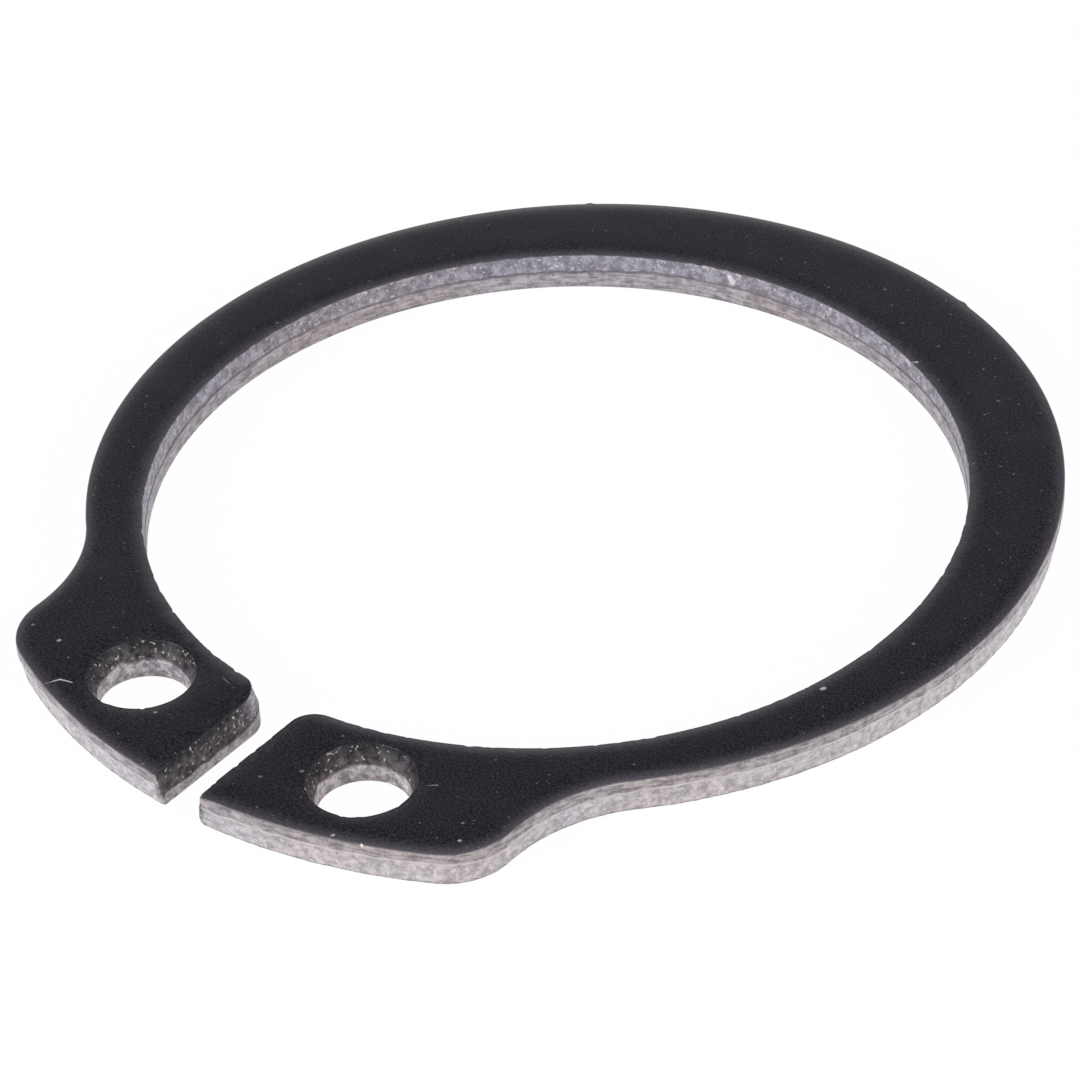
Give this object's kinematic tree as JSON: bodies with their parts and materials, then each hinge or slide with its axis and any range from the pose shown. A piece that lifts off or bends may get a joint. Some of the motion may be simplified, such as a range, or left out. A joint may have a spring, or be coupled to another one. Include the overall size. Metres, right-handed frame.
{
  "type": "external retaining ring",
  "caption": "Flat external retaining ring that springs open over a shaft and seats in its groove, with a gap between two lugs pierced for pliers.",
  "frame": {"origin": "on the bore's axis, on the bottom face", "axes": "+Z along the bore's axis, towards the face with the rolled outer edge; the gap between the lugs opens towards -Y"},
  "size_m": [0.0276, 0.0307, 0.0012],
  "materials": {
    "spring_steel": "blackened spring steel, matt faces and bright stamped edges"
  },
  "bodies": {
    "root": {"retaining_ring": "spring_steel"}
  },
  "joints": []
}
